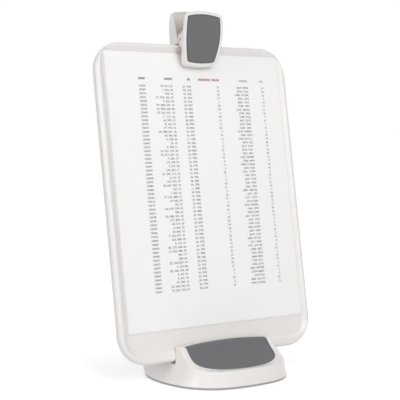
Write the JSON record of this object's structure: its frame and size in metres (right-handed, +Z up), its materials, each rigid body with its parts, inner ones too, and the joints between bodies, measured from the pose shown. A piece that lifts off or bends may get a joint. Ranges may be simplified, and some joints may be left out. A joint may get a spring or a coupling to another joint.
{
  "type": "copy holder",
  "caption": "Desktop copy holder: a weighted foot with a dished tray holds a framed board that leans back in a slot, and a sprung clip on its upper edge holds the pages.",
  "frame": {"origin": "centre of the foot's outline on the desk", "axes": "+X to the right of someone who faces the board, +Y towards the back, +Z up"},
  "size_m": [0.2366, 0.1366, 0.3733],
  "materials": {
    "white_plastic": "smooth, slightly glossy",
    "grey_pad": "fine matt texture",
    "grey_plate": "matt",
    "foot_rubber": "matt",
    "grip_rubber": "matt, grooved",
    "steel": "plain",
    "screw_steel": "plated",
    "spring_steel": "drawn wire",
    "paper": "plain paper"
  },
  "bodies": {
    "base": {"base_shell": "white_plastic", "tray_pad": "grey_pad", "bottom_plate": "grey_plate", "foot_pads": "foot_rubber", "ballast_plate": "steel", "base_screws": "screw_steel", "ballast_screws": "screw_steel"},
    "board": {"board_front_panel": "white_plastic", "board_back_panel": "white_plastic", "board_screws": "screw_steel", "held_pages": "paper"},
    "clip_back": {"clip_back_lever": "white_plastic", "clip_back_inlay": "grey_pad", "clip_back_grip": "grip_rubber", "clip_pin": "steel", "pin_rings": "steel", "clip_spring": "spring_steel"},
    "clip_front": {"clip_front_lever": "white_plastic", "clip_front_inlay": "grey_pad", "clip_front_grip": "grip_rubber"}
  },
  "joints": [
    {"name": "board_lift", "type": "slide", "parent": "base", "child": "board", "axis": [0, 0.1668, 0.986], "range_m": [0, 0.06]},
    {"name": "clip_slide", "type": "slide", "parent": "board", "child": "clip_back", "axis": [1, 0, 0], "range_m": [-0.06, 0.06]},
    {"name": "clip_open", "type": "hinge", "parent": "clip_back", "child": "clip_front", "pos_m": [0, 0.03737, 0.34376], "axis": [-1, 0, 0], "range_deg": [0, 30], "stiffness_Nm_per_rad": 0.2, "springref_deg": -34.38, "deforming": ["clip_spring"]}
  ]
}
